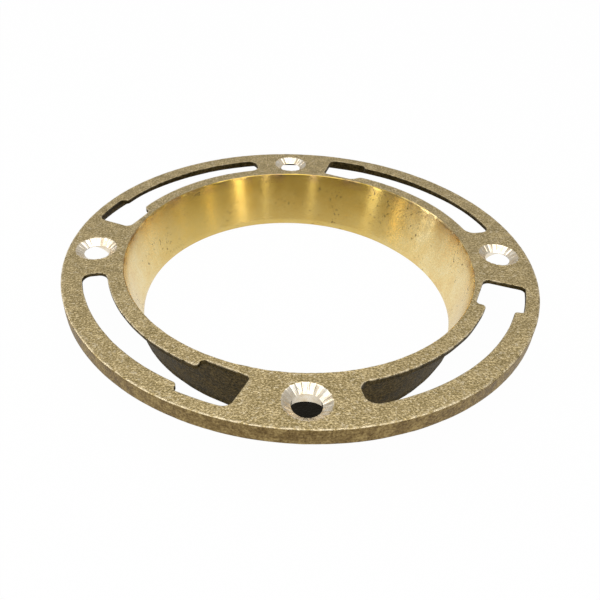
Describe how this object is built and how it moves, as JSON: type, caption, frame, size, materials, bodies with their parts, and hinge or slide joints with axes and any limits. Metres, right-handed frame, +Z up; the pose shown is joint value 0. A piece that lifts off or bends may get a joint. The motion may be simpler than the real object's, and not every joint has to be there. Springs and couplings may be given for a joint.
{
  "type": "closet flange",
  "caption": "Brass closet flange: a flat cast ring with a turned-down rim, curved bolt slots and countersunk screw holes, round a short bored collar that tapers into the drain.",
  "frame": {"origin": "centre of the bore at the lower end of the collar, which is the part's lowest face", "axes": "+Z up along the bore's axis, out of the ring's top face; +X and +Y each run through one of the countersunk screw holes"},
  "size_m": [0.1778, 0.1778, 0.0238],
  "materials": {
    "brass": "sand cast, with a machined bore and countersinks"
  },
  "bodies": {
    "root": {"closet_flange": "brass"}
  },
  "joints": []
}
